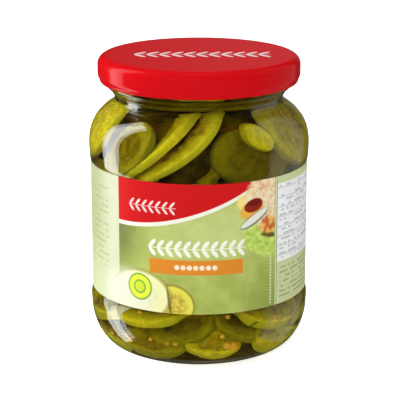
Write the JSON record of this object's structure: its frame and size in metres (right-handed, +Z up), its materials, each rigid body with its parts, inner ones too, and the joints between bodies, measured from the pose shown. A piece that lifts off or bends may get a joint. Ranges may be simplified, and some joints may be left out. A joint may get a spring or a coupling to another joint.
{
  "type": "pickle jar",
  "caption": "Shut glass jar of pickle slices in brine, with a red twist-off lid and a wrap-round paper label.",
  "frame": {"origin": "middle of the jar's foot, on the surface it stands on", "axes": "+Z up along the jar's axis, -Y towards the front of the label, +X to the right of the front"},
  "size_m": [0.079, 0.079, 0.1059],
  "materials": {
    "jar_glass": "clear soda-lime glass, smooth, with a faint green in its thick edges",
    "red_lacquer": "glossy red lacquer on tinplate",
    "label_paper": "printed coated paper, satin",
    "pickle": "wet yellow-green pickle flesh with a darker rind"
  },
  "bodies": {
    "root": {"glass_jar": "jar_glass", "lid": "red_lacquer", "label": "label_paper", "pickle_slices": "pickle"}
  },
  "joints": []
}
